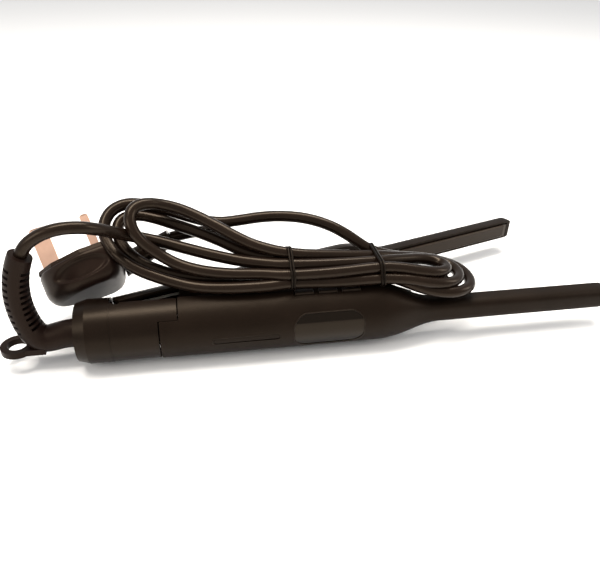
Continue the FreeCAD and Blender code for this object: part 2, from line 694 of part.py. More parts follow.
def build_plug():
    deep = S["plug_deep"]
    layers = [(0.6, -2.0), (0.0, -4.0), (0.0, -9.0), (2.6, -deep + 2.4), (5.6, -deep)]
    shape = Part.makeLoft([plug_layer(inset, z) for inset, z in layers], True, True)
    form = feature("plug_moulding", shape)
    socket = box("plug_fuse_room", "7.6", "27", "8.2", (-1.2, -13.5, -9.4))
    roots = []
    for i, (x, y) in enumerate(((-S["earth_row"], S["pin_spacing"] / 2),
                                (-S["earth_row"], -S["pin_spacing"] / 2), (S["earth_row"], 0))):
        wide = (4.0, 6.4) if i < 2 else (8.0, 4.0)
        roots.append(box(f"plug_root_{i}", f"{wide[0]}", f"{wide[1]}", "10",
                         (x - wide[0] / 2, y - wide[1] / 2, -10)))
    bore = cylinder("plug_cord_bore", "Sizes.cord_diameter / 2", "8", (-21, 0, -9.5), X_AXIS)
    keep(in_plug(cut("plug_body_cut", form, [socket, bore] + roots)), "plug_body")

    face = feature("plug_face_plate", Part.makeLoft([plug_layer(0.6, -2.0), plug_layer(1.0, 0.0)],
                                                    True, True))
    openings = [box("face_fuse_opening", "8", "27.4", "6", (-1.4, -13.7, -4))]
    for i, (x, y) in enumerate(((-S["earth_row"], S["pin_spacing"] / 2),
                                (-S["earth_row"], -S["pin_spacing"] / 2), (S["earth_row"], 0))):
        wide = (4.0, 6.4) if i < 2 else (8.0, 4.0)
        openings.append(box(f"face_root_{i}", f"{wide[0]}", f"{wide[1]}", "10",
                            (x - wide[0] / 2, y - wide[1] / 2, -8)))
    keep(in_plug(cut("plug_face_cut", face, openings)), "plug_face")

    carrier = box("fuse_carrier_block", "7.4", "26.8", "2.6", (-1.1, -13.4, -2.6))
    keep(in_plug(group("fuse_carrier_form", [carrier])), "fuse_carrier")
    fuse_tube = cylinder("fuse_tube", "3.15", "25.4", (2.6, -12.7, -5.9), Y_AXIS)
    keep(in_plug(group("fuse_form", [fuse_tube])), "plug_fuse")

    pins = [("line_pin", -S["earth_row"], S["pin_spacing"] / 2, 4.0, 6.4, 17.7),
            ("neutral_pin", -S["earth_row"], -S["pin_spacing"] / 2, 4.0, 6.4, 17.7),
            ("earth_pin", S["earth_row"], 0, 8.0, 4.0, 22.7)]
    for label, x, y, wide, thick, reach in pins:
        block = box(label + "_block", f"{wide}", f"{thick}", f"{reach + 9.5}",
                    (x - wide / 2, y - thick / 2, -9.5))
        edge = doc.addObject("Part::Chamfer", label + "_nose")
        edge.Base = block
        doc.recompute()
        tips = []
        for j, e in enumerate(block.Shape.Edges, start=1):
            if e.CenterOfMass.z > reach - 1e-6:
                tips.append((j, 1.2, 1.2))
        edge.Edges = tips
        keep(in_plug(edge), label)

    sleeve = cone("plug_sleeve_cone", "5.9", "4.2", f"{SLEEVE_LENGTH}", SLEEVE_FOOT, SLEEVE_WAY)
    bore = cylinder("plug_sleeve_bore", "Sizes.cord_diameter / 2", "60",
                    SLEEVE_FOOT - SLEEVE_WAY * 15, SLEEVE_WAY)
    # its foot is cut flat where it meets the plug's end
    trim = box("plug_sleeve_trim", "20", "40", "40", (PLUG_END, -20, -30))
    keep(in_plug(cut("plug_sleeve_cut", sleeve, [bore, trim])), "plug_sleeve")


# ------------------------------------------------------------ mains cord
RELIEF_END = relief_curve()
RELIEF_MOUTH = RELIEF_END.value(RELIEF_END.LastParameter)
RELIEF_WAY = RELIEF_END.tangent(RELIEF_END.LastParameter)[0]
SUPPLY_ROUTE = [
    tuple(RELIEF_MOUTH), tuple(RELIEF_MOUTH + RELIEF_WAY * 2.5), (-31.0, 0.0, 63.0), (-25.0, 0.0, 66.6),
    (-17.5, 0.4, 68.4), (-9.5, 2.0, 67.6), (-3.0, 6.2, 64.2), (2.0, 11.6, 59.8), (7.6, 16.4, 55.4),
    (14.5, 18.8, 52.2),
]
SLEEVE_MOUTH = PLUG.multVec(SLEEVE_FOOT + SLEEVE_WAY * SLEEVE_LENGTH)
TAIL_ROUTE = [
    tuple(SLEEVE_MOUTH), (37.5, 35.2, 46.4), (46.5, 33.0, 46.4), (55.5, 28.4, 45.0),
    (64.5, 21.5, 43.0), (73.0, 13.0, 41.4),
]
FAR_ROUTE = [
    (40.0, 30.8, 54.6), (50.0, 30.0, 52.6), (60.0, 31.0, 53.0), (70.0, 31.8, 53.8),
    (81.0, 31.8, 53.8), (93.0, 30.0, 52.8), (104.0, 25.8, 50.4), (112.5, 21.0, 46.8),
    (119.0, 17.6, 42.6), (123.0, 15.6, 39.6),
]


def rounded_wire(points):
    """Straight runs joined by tangent arcs, each as large as its two runs allow."""
    points = [Vector(*p) for p in points]
    edges = []
    at = points[0]
    radii = []
    for before, corner, after in zip(points, points[1:], points[2:]):
        into = (corner - before)
        out = (after - corner)
        half_turn = into.getAngle(out) / 2
        reach = 0.45 * min(into.Length, out.Length)
        radii.append(round(reach / math.tan(half_turn), 1))
        into.normalize()
        out.normalize()
        start = corner - into * reach
        end = corner + out * reach
        inwards = out - into
        inwards.normalize()
        radius = reach / math.tan(half_turn)
        centre = corner + inwards * (radius / math.cos(half_turn))
        middle = centre - inwards * radius
        edges.append(Part.LineSegment(at, start).toShape())
        edges.append(Part.Arc(start, middle, end).toShape())
        at = end
    edges.append(Part.LineSegment(at, points[-1]).toShape())
    return Part.Wire(edges), radii


def build_tube(label, route, radius):
    wire, radii = rounded_wire(route)
    shape = tube_along(wire, radius)
    expected = math.pi * radius * radius * wire.Length
    print(f"{label}: length {wire.Length:.1f} mm, arc radii {radii}, "
          f"volume {shape.Volume:.0f} of {expected:.0f} mm3")
    if abs(shape.Volume / expected - 1) > 0.02:
        raise ValueError(label + " has a wrong volume")
    keep(feature(label + "_tube", shape), label)


# (x, y and z of the section's centre, half-length across the hank, half-thickness, tilt in degrees)
HANK_STATIONS = [
    (-3.0, 23.6, 54.8, 4.5, 3.0, 39.0),
    (3.0, 23.6, 54.3, 16.0, 4.4, 39.0),
    (14.0, 20.0, 51.2, 23.6, 5.0, 39.0),
    (28.0, 17.0, 48.8, 24.0, 5.6, 39.0),
    (44.0, 12.6, 46.0, 20.0, 6.0, 39.0),
    (60.0, 7.0, 42.4, 13.4, 6.2, 38.0),
    (81.0, 3.2, 40.4, 9.6, 6.2, 36.0),
    (102.0, 4.0, 38.6, 10.0, 5.6, 18.0),
    (124.0, 5.8, 37.6, 12.0, 4.9, 1.0),
    (138.0, 6.5, 34.6, 12.6, 5.0, 1.0),
    (150.0, 6.0, 32.0, 15.4, 5.4, 1.0),
    (162.0, 5.2, 30.0, 14.6, 5.0, 1.0),
    (170.5, 4.4, 28.8, 10.0, 4.0, 1.0),
    (175.0, 4.0, 28.4, 5.0, 3.0, 1.0),
]
TIE_STATIONS = {"cord_tie_left": 6, "cord_tie_right": 8}


def hank_ellipse(station, extra):
    """Ellipse round the hank at one station, grown by extra."""
    x, y, z, half, thick, tilt = station
    across = Vector(0, math.cos(math.radians(tilt)), math.sin(math.radians(tilt)))
    up = X_AXIS.cross(across)
    middle = Vector(x, y, z)
    return Part.Ellipse(middle + across * (half + extra), middle + up * (thick + extra), middle)


def build_hank():
    """Outer form of the cord that is folded to and fro and tied over the arms."""
    wires = [Part.Wire(hank_ellipse(station, 0).toShape()) for station in HANK_STATIONS]
    return Part.makeLoft(wires, True, False)


def build_ties():
    """Wire ties round the hank's narrow middle."""
    wire_radius = 0.6
    for label, number in TIE_STATIONS.items():
        path = Part.Wire(hank_ellipse(HANK_STATIONS[number], wire_radius + 0.2).toShape())
        keep(feature(label + "_ring", tube_along(path, wire_radius)), label)


def main():
    build_cap()
    build_relief()
    build_hinge()
    for side in (FRONT, REAR):
        build_arm_common(side)
    build_front_arm()
    build_rear_arm()
    build_plug()
    cord_radius = S["cord_diameter"] / 2
    build_tube("supply_cord", SUPPLY_ROUTE, cord_radius)
    build_tube("plug_cord", TAIL_ROUTE, cord_radius)
    build_tube("cord_far_loop", FAR_ROUTE, cord_radius)
    keep(feature("hank_form", build_hank()), "cord_hank")
    build_ties()
    finish()


def finish():
    doc.recompute()
    for obj in doc.Objects:
        if "Invalid" in obj.State or "Error" in obj.State:
            raise RuntimeError(f"{obj.Name} did not recompute: {obj.State}")
    for obj in sub_parts:
        shape = obj.Shape
        if shape.isNull() or not shape.isValid() or not shape.Solids:
            raise RuntimeError(f"{obj.Label} is not a valid solid")
    for obj in sub_parts:
        obj.Shape.exportStep(f"parts/{obj.Label}.step")
        print(f"{obj.Label}: {len(obj.Shape.Solids)} solid(s), {obj.Shape.Volume:.1f} mm3")


main()
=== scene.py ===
# %% [markdown]
# # A slim flat iron with its mains cord
# A slim flat iron has two long arms that hinge at the cord end and carry narrow heating plates. It lies on
# its side with the arms a little open, and its cord is folded into a tied hank on top. The engineering model
# already has every shell, plate and button at its real size, so this file loads it as a fixed frame. It adds
# what engineering shapes don't say: the finishes, the soft cord, its ties and the moulded plug.
# %% Load the frame
import json
import math
import bmesh
import bpy
from mathutils import Matrix, Vector


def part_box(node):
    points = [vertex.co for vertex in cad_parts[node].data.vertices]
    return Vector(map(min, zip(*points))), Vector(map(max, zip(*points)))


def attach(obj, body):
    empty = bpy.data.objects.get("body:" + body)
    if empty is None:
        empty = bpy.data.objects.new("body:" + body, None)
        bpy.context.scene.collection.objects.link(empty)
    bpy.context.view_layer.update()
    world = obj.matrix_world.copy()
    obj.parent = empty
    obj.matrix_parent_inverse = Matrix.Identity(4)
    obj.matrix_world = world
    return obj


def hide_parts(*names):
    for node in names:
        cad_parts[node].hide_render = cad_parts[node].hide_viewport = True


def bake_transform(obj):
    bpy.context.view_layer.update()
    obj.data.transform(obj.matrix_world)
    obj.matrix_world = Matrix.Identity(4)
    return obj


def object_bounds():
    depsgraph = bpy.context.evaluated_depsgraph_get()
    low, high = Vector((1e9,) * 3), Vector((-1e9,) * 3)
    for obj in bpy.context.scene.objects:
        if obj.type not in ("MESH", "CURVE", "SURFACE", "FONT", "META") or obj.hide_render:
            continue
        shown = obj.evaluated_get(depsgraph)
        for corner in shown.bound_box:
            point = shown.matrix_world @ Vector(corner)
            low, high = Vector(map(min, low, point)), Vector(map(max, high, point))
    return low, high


MM = 0.001
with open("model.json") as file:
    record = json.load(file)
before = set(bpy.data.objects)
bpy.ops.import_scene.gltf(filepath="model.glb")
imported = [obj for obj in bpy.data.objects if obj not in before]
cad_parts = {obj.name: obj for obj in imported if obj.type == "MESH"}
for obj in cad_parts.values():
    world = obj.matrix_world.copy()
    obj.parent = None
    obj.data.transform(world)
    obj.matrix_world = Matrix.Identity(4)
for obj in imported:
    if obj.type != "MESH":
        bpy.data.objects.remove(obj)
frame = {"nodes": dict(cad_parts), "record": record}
cad_low, cad_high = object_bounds()

# %% [markdown]
# ## Camera
# A product picture of a long thin thing is taken from a little above and in front, close enough that the
# near end looks larger. A camera could be aimed with a constraint; here its three axes are worked out from
# turn, dip and tilt, so the view is exact and nothing has to be evaluated later.
# %% Camera
EYE = Vector((38.15, -238.3, 182.11)) * MM
TURN = 0.195
DIP = 0.557
TILT = 0.030
ahead = Vector((math.sin(TURN) * math.cos(DIP), math.cos(TURN) * math.cos(DIP), -math.sin(DIP)))
level = Vector((math.cos(TURN), -math.sin(TURN), 0.0))
rise = level.cross(ahead)
right = level * math.cos(TILT) + rise * math.sin(TILT)
up = rise * math.cos(TILT) - level * math.sin(TILT)
lens = bpy.data.cameras.new("camera")
lens.lens = 36.0
lens.sensor_width = 36.0
lens.sensor_fit = "HORIZONTAL"
lens.clip_start = 0.01
camera = bpy.data.objects.new("camera", lens)
camera.matrix_world = Matrix.Translation(EYE) @ Matrix((right, up, -ahead)).transposed().to_4x4()
bpy.context.scene.collection.objects.link(camera)
bpy.context.scene.camera = camera
print("camera looks along", [round(v, 3) for v in ahead])

# %% [markdown]
# ## Floor
# The iron lies on pale paper. A curved sweep would hide the horizon, but a flat sheet far wider than the
# view does that too, with four corners. It sits a hair below the lowest point, so the two never flicker
# through each other.
# %% Floor
FLOOR_HALF = 6.0
FLOOR_GAP = 0.4 * MM
floor_mesh = bpy.data.meshes.new("floor")
floor_height = cad_low.z - FLOOR_GAP
corners = [(-FLOOR_HALF, -FLOOR_HALF, floor_height), (FLOOR_HALF, -FLOOR_HALF, floor_height),
           (FLOOR_HALF, FLOOR_HALF, floor_height), (-FLOOR_HALF, FLOOR_HALF, floor_height)]
floor_mesh.from_pydata(corners, [], [(0, 1, 2, 3)])
floor = bpy.data.objects.new("floor", floor_mesh)
bpy.context.scene.collection.objects.link(floor)
paper = bpy.data.materials.new("pale_paper")
paper.use_nodes = True
paper_shader = paper.node_tree.nodes["Principled BSDF"]
paper_shader.inputs["Base Color"].default_value = (0.93, 0.93, 0.93, 1.0)
paper_shader.inputs["Roughness"].default_value = 0.9
floor_mesh.materials.append(paper)
print("floor at", round(floor_height, 4))

# %% [markdown]
# ## Light
# A dark, half-matt thing shows its form through the edges of large, soft light patches. Small hard lamps
# would leave sparkles instead. So a long narrow panel hangs above, along the arms, and draws the line of
# light on them. Two weaker panels fill from the left and the right, and a white surround lifts the rest.
# %% Lights
WARM = (1.0, 0.95, 0.88)


def soft_panel(name, place, target, size, power):
    light = bpy.data.lights.new(name, "AREA")
    light.shape = "RECTANGLE"
    light.size = size[0]
    light.size_y = size[1]
    light.energy = power
    light.color = WARM
    panel = bpy.data.objects.new(name, light)
    panel.location = place
    panel.rotation_euler = (Vector(target) - Vector(place)).to_track_quat("-Z", "Y").to_euler()
    bpy.context.scene.collection.objects.link(panel)


iron_middle = (0.1, 0.02, 0.03)
soft_panel("panel_above", (0.05, 0.12, 0.85), iron_middle, (1.0, 0.22), 13.0)
soft_panel("panel_left_front", (-0.75, -0.45, 0.6), iron_middle, (0.4, 0.5), 3.5)
soft_panel("panel_right", (0.95, -0.15, 0.5), iron_middle, (0.3, 0.5), 2.5)
surround = bpy.data.worlds.new("white_surround")
surround.use_nodes = True
surround.node_tree.nodes["Background"].inputs["Color"].default_value = (1.0, 1.0, 1.0, 1.0)
surround.node_tree.nodes["Background"].inputs["Strength"].default_value = 0.7
bpy.context.scene.world = surround
bpy.context.scene.view_settings.view_transform = "Standard"

# %% [markdown]
# ## Two shared effects
# Every finish here shares two effects: a fine grain, and the slight patchiness that skin and dust leave.
# They could be painted into each material, but as node groups they are made once, and each finish sets
# its own scale and strength. They read object coordinates, which are real metres, so pieces of the same
# finish have the same grain. These two helpers make a group with its sockets, and put a noise in it.
# %% A helper for effects
def new_effect(name, takes, gives):
    group = bpy.data.node_groups.new(name, "ShaderNodeTree")
    for label, kind, value in takes:
        socket = group.interface.new_socket(label, in_out="INPUT", socket_type=kind)
        socket.default_value = value
    for label, kind in gives:
        group.interface.new_socket(label, in_out="OUTPUT", socket_type=kind)
    entry = group.nodes.new("NodeGroupInput")
    leave = group.nodes.new("NodeGroupOutput")
    return group, entry, leave


def speckle(group, scale_from, detail, coordinates):
    """Noise over the object's own coordinates, whose scale is an input of the group or a number."""
    noise = group.nodes.new("ShaderNodeTexNoise")
    noise.inputs["Detail"].default_value = detail
    group.links.new(coordinates, noise.inputs["Vector"])
    if isinstance(scale_from, float):
        noise.inputs["Scale"].default_value = scale_from
    else:
        group.links.new(scale_from, noise.inputs["Scale"])
    return noise.outputs["Fac"]


print("effect helpers are ready")

# %% [markdown]
# ## Mould grain
# A mould with a fine texture leaves a grain on the plastic, and its gloss drifts slowly over the surface.
# One fine noise gives the height for a bump, with grains from a few tenths of a millimetre to about one,
# and one broad noise moves the roughness round its middle. Displacing the mesh would be truer, but it
# would need very many faces for a grain that only changes how light spreads.
# %% Mould grain
GLOSS_DRIFT_SCALE = 90.0
NUMBER = "NodeSocketFloat"
COLOUR = "NodeSocketColor"
mould_grain, entry, leave = new_effect(
    "mould_grain",
    [("Grain Scale", NUMBER, 2500.0), ("Middle Roughness", NUMBER, 0.5), ("Spread", NUMBER, 0.1)],
    [("Height", NUMBER), ("Roughness", NUMBER)])
places = mould_grain.nodes.new("ShaderNodeTexCoord")
fine = speckle(mould_grain, entry.outputs["Grain Scale"], 2.0, places.outputs["Object"])
broad = speckle(mould_grain, GLOSS_DRIFT_SCALE, 3.0, places.outputs["Object"])
shifted = mould_grain.nodes.new("ShaderNodeMath")
shifted.operation = "SUBTRACT"
shifted.inputs[1].default_value = 0.5
mould_grain.links.new(broad, shifted.inputs[0])
spread = mould_grain.nodes.new("ShaderNodeMath")
spread.operation = "MULTIPLY_ADD"
mould_grain.links.new(shifted.outputs[0], spread.inputs[0])
mould_grain.links.new(entry.outputs["Spread"], spread.inputs[1])
mould_grain.links.new(entry.outputs["Middle Roughness"], spread.inputs[2])
mould_grain.links.new(fine, leave.inputs["Height"])
mould_grain.links.new(spread.outputs[0], leave.inputs["Roughness"])
print("mould grain has", len(mould_grain.nodes), "nodes")

# %% [markdown]
# ## Handling
# Where fingers and dust have been, a dark surface is a shade lighter and a bright one a shade duller. The
# two shades differ so little that a hard mask would look like dirt, so a noise is stretched to a soft
# mask between them, and each finish says how large its patches are.
# %% Handling
handling, entry, leave = new_effect(
    "handling",
    [("Colour", COLOUR, (0.05, 0.04, 0.035, 1.0)), ("Handled Colour", COLOUR, (0.08, 0.06, 0.05, 1.0)),
     ("Patch Scale", NUMBER, 60.0)],
    [("Colour", COLOUR)])
places = handling.nodes.new("ShaderNodeTexCoord")
patches = speckle(handling, entry.outputs["Patch Scale"], 5.0, places.outputs["Object"])
ramp = handling.nodes.new("ShaderNodeMapRange")
ramp.inputs["From Min"].default_value = 0.35
ramp.inputs["From Max"].default_value = 0.75
handling.links.new(patches, ramp.inputs["Value"])
blend_colours = handling.nodes.new("ShaderNodeMix")
blend_colours.data_type = "RGBA"
handling.links.new(ramp.outputs["Result"], blend_colours.inputs["Factor"])
handling.links.new(entry.outputs["Colour"], blend_colours.inputs[6])
handling.links.new(entry.outputs["Handled Colour"], blend_colours.inputs[7])
handling.links.new(blend_colours.outputs[2], leave.inputs["Colour"])
print("handling has", len(handling.nodes), "nodes")

# %% [markdown]
# ## One finish
# A finish is a shader with the two effects in front of it. Colour and roughness change over the surface,
# so they come from the groups; metal and shine are the same all over, so they stand on the shader itself.
# The mirror-like part of the light is tinted warm. An untinted one would lay a grey veil over the brown.
# %% One finish
GRAIN_STRENGTH = 0.5
WARM_SHINE = (1.0, 0.8, 0.6, 1.0)


def finish(name, colour, handled, rough, spread_rough, grain_scale, grain_depth, metal=0.0,
           patch_scale=60.0, shine=0.5):
    skin = bpy.data.materials.new(name)
    skin.use_nodes = True
    nodes = skin.node_tree.nodes
    links = skin.node_tree.links
    shader = nodes["Principled BSDF"]
    shader.inputs["Metallic"].default_value = metal
    shader.inputs["Specular IOR Level"].default_value = shine
    shader.inputs["Specular Tint"].default_value = WARM_SHINE
    grain = nodes.new("ShaderNodeGroup")
    grain.node_tree = mould_grain
    grain.inputs["Grain Scale"].default_value = grain_scale
    grain.inputs["Middle Roughness"].default_value = rough
    grain.inputs["Spread"].default_value = spread_rough
    touched = nodes.new("ShaderNodeGroup")
    touched.node_tree = handling
    touched.inputs["Colour"].default_value = (*colour, 1.0)
    touched.inputs["Handled Colour"].default_value = (*handled, 1.0)
    touched.inputs["Patch Scale"].default_value = patch_scale
    bump = nodes.new("ShaderNodeBump")
    bump.inputs["Strength"].default_value = GRAIN_STRENGTH
    bump.inputs["Distance"].default_value = grain_depth
    links.new(touched.outputs["Colour"], shader.inputs["Base Color"])
    links.new(grain.outputs["Roughness"], shader.inputs["Roughness"])
    links.new(grain.outputs["Height"], bump.inputs["Height"])
    links.new(bump.outputs["Normal"], shader.inputs["Normal"])
    return skin


# %% [markdown]
# ## All finishes
# The arms have a soft-touch skin, the cap and the buttons a fine satin, the cord a half-gloss sheath, and
# the plug a smoother mould. All of them are nearly the same warm brown-black, so what tells them apart is
# roughness, shine and grain. The metals, and the parts that the shells hide, have their own colours. One
# function makes them all, because they differ only in numbers: the two shades, roughness and its drift,
# and the grain's scale per metre and depth in metres.
# %% All finishes
finishes = {
    "soft_touch": finish("soft_touch", (0.0056, 0.0032, 0.0021), (0.008, 0.0047, 0.0032), 0.44, 0.08,
                         2600.0, 0.00002, shine=0.1),
    "cap_plastic": finish("cap_plastic", (0.005, 0.0028, 0.0019), (0.0075, 0.0043, 0.003), 0.33, 0.08,
                          3200.0, 0.000012, shine=0.13),
    "relief_rubber": finish("relief_rubber", (0.0068, 0.0034, 0.0027), (0.0095, 0.0049, 0.004), 0.42, 0.12,
                            2400.0, 0.00002, shine=0.1),
    "cord_pvc": finish("cord_pvc", (0.006, 0.0032, 0.0021), (0.009, 0.0049, 0.0033), 0.25, 0.1,
                       1500.0, 0.00002, shine=0.2),
    "plug_plastic": finish("plug_plastic", (0.0075, 0.0036, 0.0027), (0.0105, 0.0051, 0.0039), 0.36, 0.1,
                           2000.0, 0.000015, shine=0.16),
    "pin_brass": finish("pin_brass", (0.66, 0.42, 0.31), (0.54, 0.34, 0.25), 0.34, 0.16, 1800.0, 0.00002,
                        metal=1.0, patch_scale=120.0),
    "plate_ceramic": finish("plate_ceramic", (0.008, 0.0048, 0.0035), (0.012, 0.0072, 0.0053), 0.3, 0.1,
                            900.0, 0.00001, shine=0.18),
    "lens_gloss": finish("lens_gloss", (0.0022, 0.0013, 0.001), (0.003, 0.0018, 0.0014), 0.1, 0.02,
                         600.0, 0.000002, shine=0.22),
    "light_gloss": finish("light_gloss", (0.004, 0.0024, 0.0018), (0.006, 0.0036, 0.0027), 0.2, 0.06, 800.0,
                          0.000006, shine=0.1),
    "button_plastic": finish("button_plastic", (0.005, 0.0029, 0.002), (0.0075, 0.0044, 0.003), 0.32, 0.08,
                             3000.0, 0.00001, shine=0.16),
    "spring_steel": finish("spring_steel", (0.045, 0.041, 0.038), (0.06, 0.055, 0.051), 0.38, 0.1, 1500.0,
                           0.00002, metal=0.6, shine=0.2),
    "contact_metal": finish("contact_metal", (0.72, 0.54, 0.3), (0.6, 0.44, 0.24), 0.32, 0.12, 1500.0,
                            0.00002, metal=1.0),
    "carrier_plastic": finish("carrier_plastic", (0.012, 0.011, 0.011), (0.019, 0.018, 0.018), 0.55, 0.1,
                              2200.0, 0.00003),
    "heater_ceramic": finish("heater_ceramic", (0.78, 0.76, 0.71), (0.7, 0.67, 0.61), 0.6, 0.1, 1800.0,
                             0.00004),
    "pad_silicone": finish("pad_silicone", (0.32, 0.06, 0.045), (0.4, 0.09, 0.07), 0.5, 0.1, 1800.0,
                           0.00003),
    "lead_silicone": finish("lead_silicone", (0.6, 0.57, 0.5), (0.52, 0.49, 0.43), 0.5, 0.1, 1800.0,
                            0.00003),
    "board_laminate": finish("board_laminate", (0.012, 0.08, 0.035), (0.02, 0.11, 0.05), 0.4, 0.12,
                             1200.0, 0.00002),
    "tie_coating": finish("tie_coating", (0.003, 0.0019, 0.0015), (0.0045, 0.0029, 0.0023), 0.33, 0.1,
                          1800.0, 0.00001, shine=0.12),
}
print("finishes", len(finishes))

# %% [markdown]
# ## Finishes onto the engineering parts
# Each part in the record names the finish that it is sold in. The parts keep their engineering meshes; only
# the material in each mesh's slots is exchanged, which keeps the two models in step.
# %% Dress the parts
for subpart in frame["record"]["subparts"]:
    node = frame["nodes"][subpart["node"]]
    skin = finishes[subpart["material_slot"]]
    if not node.material_slots:
        node.data.materials.append(skin)
    for place in node.material_slots:
        place.material = skin
print("dressed", len(frame["nodes"]), "parts")

# %% [markdown]
# ## The cord and its ties
# The cord is one length in a round sheath. It leaves the slotted relief, bends over into a hank that is
# folded to and fro, and runs out of the hank into the plug. A hank could be faked with separate loops,
# but then its strands would pass through the ties in no order. One NURBS line carries the whole length: at
# each tie a strand has its own slot in the bundle, and between the ties the loops fan out, each to its own
# size.
# %% Slots in the two ties
def in_tie(tie, slot):
    """A point in the bundle's cross-section at a tie, slot being across and outwards in millimetres."""
    x, y, z, tilt = tie
    lean = math.radians(tilt)
    across, outwards = slot
    return (x, y + across * math.cos(lean) - outwards * math.sin(lean),
            z + across * math.sin(lean) + outwards * math.cos(lean))


LEFT_TIE = (81.0, 3.2, 40.2, 36.0)
BETWEEN = (102.0, 4.0, 38.8, 18.0)
RIGHT_TIE = (124.0, 5.8, 37.5, 0.0)
BACK = [(-7.2, -1.0), (-2.8, -2.4), (2.8, -2.4), (8.2, -2.2)]
FRONT = [(-5.0, 2.7), (0.4, 2.6), (6.0, 2.4)]
TOP = [(-7.0, 2.4), (-1.4, 2.4), (4.2, 2.4), (9.8, 2.4)]
DEEP = [(-9.8, -2.4), (-4.2, -2.4), (1.4, -2.4), (7.0, -2.4)]


def rightwards(left_slot, right_slot):
    """A strand's pass through both ties, from the left one to the right one."""
    half_way = ((left_slot[0] + right_slot[0]) / 2, (left_slot[1] + right_slot[1]) / 2)
    return [in_tie(LEFT_TIE, left_slot), in_tie(BETWEEN, half_way), in_tie(RIGHT_TIE, right_slot)]


def leftwards(right_slot, left_slot):
    return rightwards(left_slot, right_slot)[::-1]


print("slots", len(BACK + FRONT), "left and", len(TOP + DEEP), "right")

# %% [markdown]
# ## The runs between the ties
# These are the places the cord passes, listed in millimetres. Each list is one run: out of the
# relief, round a loop, or on to the plug. They could be sampled from a physical simulation of a falling
# cord, but a tied hank keeps the shape that hands gave it, and a listed point every centimetre or so
# gives each loop its own size.
# %% The runs, in millimetres
supply = [
    (-35.3, 0, 57), (-34.2, 0, 59.25), (-31, 0, 63), (-25, 0, 66.6), (-17.5, 0.4, 68.4), (-9.5, 2, 67.6),
    (-3, 6.2, 64.2), (2, 11.6, 59.8), (7.6, 16.4, 55.4), (14.5, 18.8, 52.2), (23, 17.9, 50),
    (34, 14.4, 47.6), (46, 11.1, 45), (58, 8.2, 42.8), (69, 6, 42),
]
right_loop_small = [
    (131, 5.6, 39.2), (139, 7.6, 38), (147, 9.4, 36.8), (154, 9.2, 35.8), (159, 5, 35.4),
    (158.4, -1.2, 35.6), (152, -4.8, 36.6), (143, -4.2, 38), (134, -2, 39.2),
]
front_loop = [
    (68, 1.6, 38.8), (55, 1.9, 39.5), (44.5, 3.1, 40.5), (36, 4.9, 41.9), (28, 7.6, 44), (21, 10.5, 47.6),
    (14.6, 11.8, 52.8), (10.6, 13.4, 58.1), (8.9, 17.1, 62.7), (10.5, 21.3, 66.5), (16, 24.6, 67.4),
    (24, 28, 64.6), (31.6, 27.6, 62.2), (39.6, 24.4, 59.4), (48, 19.9, 56), (57, 14.9, 51.9),
    (66, 11.2, 48.4),
]
right_loop_wide = [
    (131, 11.2, 38.4), (140, 13.4, 36.2), (149, 15.2, 34.2), (157.5, 15.2, 32.6), (164.5, 11.4, 31.4),
    (167.2, 4.4, 30.8), (164.6, -3, 30.8), (157.5, -7.6, 31.6), (148, -7.8, 33), (139, -5.8, 34.4),
    (131, -4.6, 34.8),
]
outer_loop = [
    (70, -2.9, 34.8), (59, -2.9, 34.8), (47, -1.8, 34.8), (37, 0.4, 34.9), (27.5, 3.8, 36),
    (19, 6.4, 38.2), (11, 9, 41), (4.6, 12.6, 44.2), (-0.8, 17.4, 48), (-3.8, 22.8, 52.2),
    (-4, 28.4, 56.6), (-0.6, 33.4, 60.6), (6, 36.2, 62.6), (14, 36, 62), (22, 34.6, 60.2),
    (31, 32.8, 57.4),
]
far_strand = [
    (40, 30.8, 54.6), (50, 30, 52.6), (60, 31, 53), (70, 31.8, 53.8), (81, 31.8, 53.8), (93, 30, 52.8),
    (104, 25.8, 50.4), (112.5, 21, 46.8), (119, 17.6, 42.6),
]
right_loop_far = [
    (131, 15.6, 37.2), (139, 16.8, 34.6), (148, 18.8, 32), (157.5, 20.2, 30), (166, 17.6, 28.8),
    (171.4, 11, 28.2), (173, 2.8, 27.8), (170.4, -5.2, 27.6), (163, -9.6, 27.6), (154.5, -9.4, 27.8),
    (146, -6.6, 28.8), (138, -3, 30.8), (131, -0.4, 33.2),
]
middle_loop = [
    (70, 3.6, 35), (58.5, 5, 35), (47.5, 5.9, 35.2), (37, 7, 36.1), (27, 8.9, 37.4),
    (18, 11.6, 39.6), (10.8, 15, 42.6), (5.4, 19.2, 46.2), (2.4, 24, 50.1), (1.6, 29, 54),
    (4.6, 33, 56.8), (11.5, 34.6, 57.2), (20, 31.8, 56), (30, 28.2, 53.4), (40.2, 24.2, 50.8),
    (50.5, 19.6, 47.6), (60.5, 14.4, 43.9), (70, 11.2, 42.2),
]
right_loop_low = [
    (131, 12.6, 33.2), (139, 12.2, 31), (147, 12.4, 28.8), (154.5, 11.4, 27), (160.4, 7.2, 26),
    (161.6, 0.8, 25.8), (157.4, -4, 26), (150, -3.8, 26.6), (142, 0.2, 28.2), (134, 4.6, 31),
]
tail = [(74, 11.2, 36.6), (66, 18.6, 38.8), (55.5, 28.4, 45), (46.5, 33, 46.4), (37.5, 35.2, 46.4)]
left_runs = [supply, front_loop, outer_loop, far_strand, middle_loop, tail]
right_runs = [right_loop_small, right_loop_wide, right_loop_far, right_loop_low]
print("hand-placed points", sum(len(run) for run in left_runs + right_runs))

